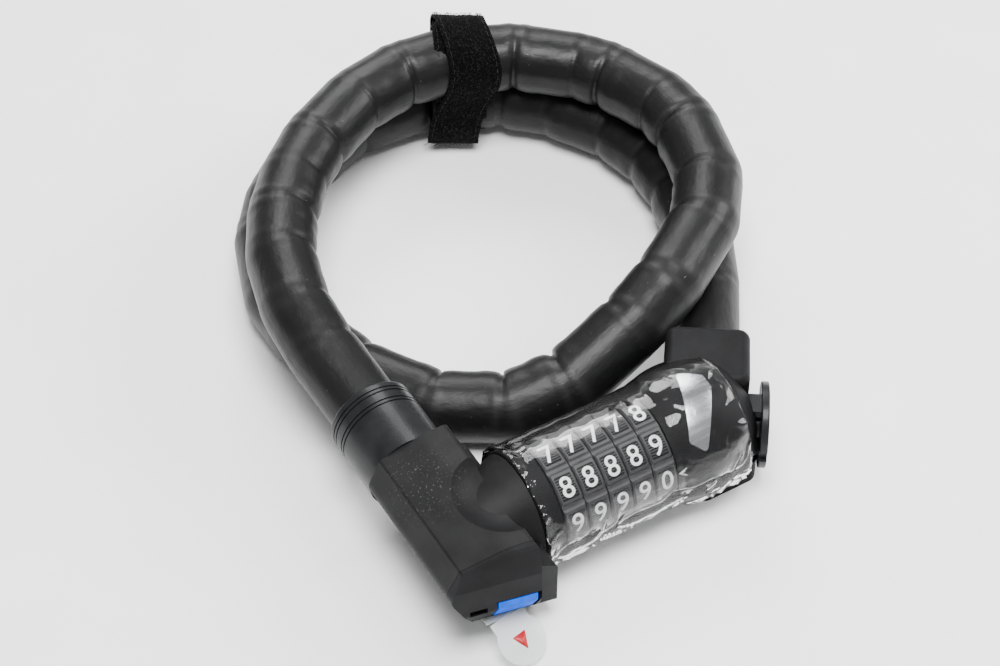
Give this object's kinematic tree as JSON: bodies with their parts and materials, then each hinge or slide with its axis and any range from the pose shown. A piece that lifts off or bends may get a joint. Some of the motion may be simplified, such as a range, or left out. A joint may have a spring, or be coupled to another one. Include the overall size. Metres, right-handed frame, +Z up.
{
  "type": "bicycle combination lock",
  "caption": "Armoured cable lock: a coiled sheathed cable joins a head with number rings on its barrel to a pull-out bolt head with a small lamp, bundled by a strap",
  "frame": {"origin": "the middle of the fixed head's flat underside, on the surface that the lock lies on", "axes": "+X along the barrel from the pull-out head to the fixed head, +Y towards the coil of cable, +Z up"},
  "size_m": [0.1692, 0.2262, 0.0481],
  "materials": {
    "head_plastic": "satin moulded",
    "ring_plastic": "satin moulded with white numbers",
    "sheath_vinyl": "smooth satin",
    "hardened_steel": "turned",
    "zinc_casting": "as cast",
    "spring_steel": "bright",
    "brass_disc": "stamped",
    "badge_foil": "satin",
    "button_blue": "smooth",
    "clear_film": "clear glossy film",
    "tab_film": "milky film",
    "strap_loop": "looped pile",
    "board_green": "solder mask",
    "led_clear": "clear"
  },
  "bodies": {
    "lock_body": {"barrel_core": "hardened_steel", "end_collar": "ring_plastic", "detent_balls": "spring_steel", "detent_springs": "spring_steel", "thrust_washer": "spring_steel", "core_circlip": "spring_steel", "fixed_head": "head_plastic", "fixed_base": "head_plastic", "fixed_screws": "hardened_steel", "socket_ferrule": "zinc_casting", "head_badge": "badge_foil", "bracket_shoe": "head_plastic", "shoe_screw": "hardened_steel", "cable_sheath": "sheath_vinyl", "cable_core": "hardened_steel", "armour_sleeves": "hardened_steel", "cable_strap": "strap_loop", "shrink_film": "clear_film"},
    "pull_head_body": {"pull_head": "head_plastic", "pull_base": "head_plastic", "pull_screws": "hardened_steel", "grip_collar": "head_plastic", "locking_bolt": "hardened_steel", "bolt_pin": "hardened_steel", "anchor_block": "zinc_casting", "grip_ferrule": "zinc_casting", "cable_tail": "sheath_vinyl", "lamp_housing": "head_plastic", "lamp_board": "board_green", "coin_cells": "spring_steel", "lamp_led": "led_clear"},
    "lamp_button_body": {"lamp_button": "button_blue"},
    "pull_tab_body": {"pull_tab": "tab_film"},
    "ring_1": {"number_ring_1": "ring_plastic", "code_disc_1": "brass_disc"},
    "ring_2": {"number_ring_2": "ring_plastic", "code_disc_2": "brass_disc"},
    "ring_3": {"number_ring_3": "ring_plastic", "code_disc_3": "brass_disc"},
    "ring_4": {"number_ring_4": "ring_plastic", "code_disc_4": "brass_disc"},
    "ring_5": {"number_ring_5": "ring_plastic", "code_disc_5": "brass_disc"}
  },
  "joints": [
    {"name": "bolt_slide", "type": "slide", "parent": "lock_body", "child": "pull_head_body", "axis": [-1, 0, 0], "range_m": [0, 0.0456]},
    {"name": "button_press", "type": "slide", "parent": "pull_head_body", "child": "lamp_button_body", "axis": [0, 1, 0], "range_m": [0, 0.0008], "stiffness_N_per_m": 300},
    {"name": "tab_pull", "type": "slide", "parent": "pull_head_body", "child": "pull_tab_body", "axis": [0, -1, 0], "range_m": [0, 0.02]},
    {"name": "ring_1_turn", "type": "hinge", "parent": "lock_body", "child": "ring_1", "pos_m": [-0.0572, 0, 0.021], "axis": [1, 0, 0], "continuous": true},
    {"name": "ring_2_turn", "type": "hinge", "parent": "lock_body", "child": "ring_2", "pos_m": [-0.0496, 0, 0.021], "axis": [1, 0, 0], "continuous": true},
    {"name": "ring_3_turn", "type": "hinge", "parent": "lock_body", "child": "ring_3", "pos_m": [-0.042, 0, 0.021], "axis": [1, 0, 0], "continuous": true},
    {"name": "ring_4_turn", "type": "hinge", "parent": "lock_body", "child": "ring_4", "pos_m": [-0.0344, 0, 0.021], "axis": [1, 0, 0], "continuous": true},
    {"name": "ring_5_turn", "type": "hinge", "parent": "lock_body", "child": "ring_5", "pos_m": [-0.0268, 0, 0.021], "axis": [1, 0, 0], "continuous": true}
  ]
}
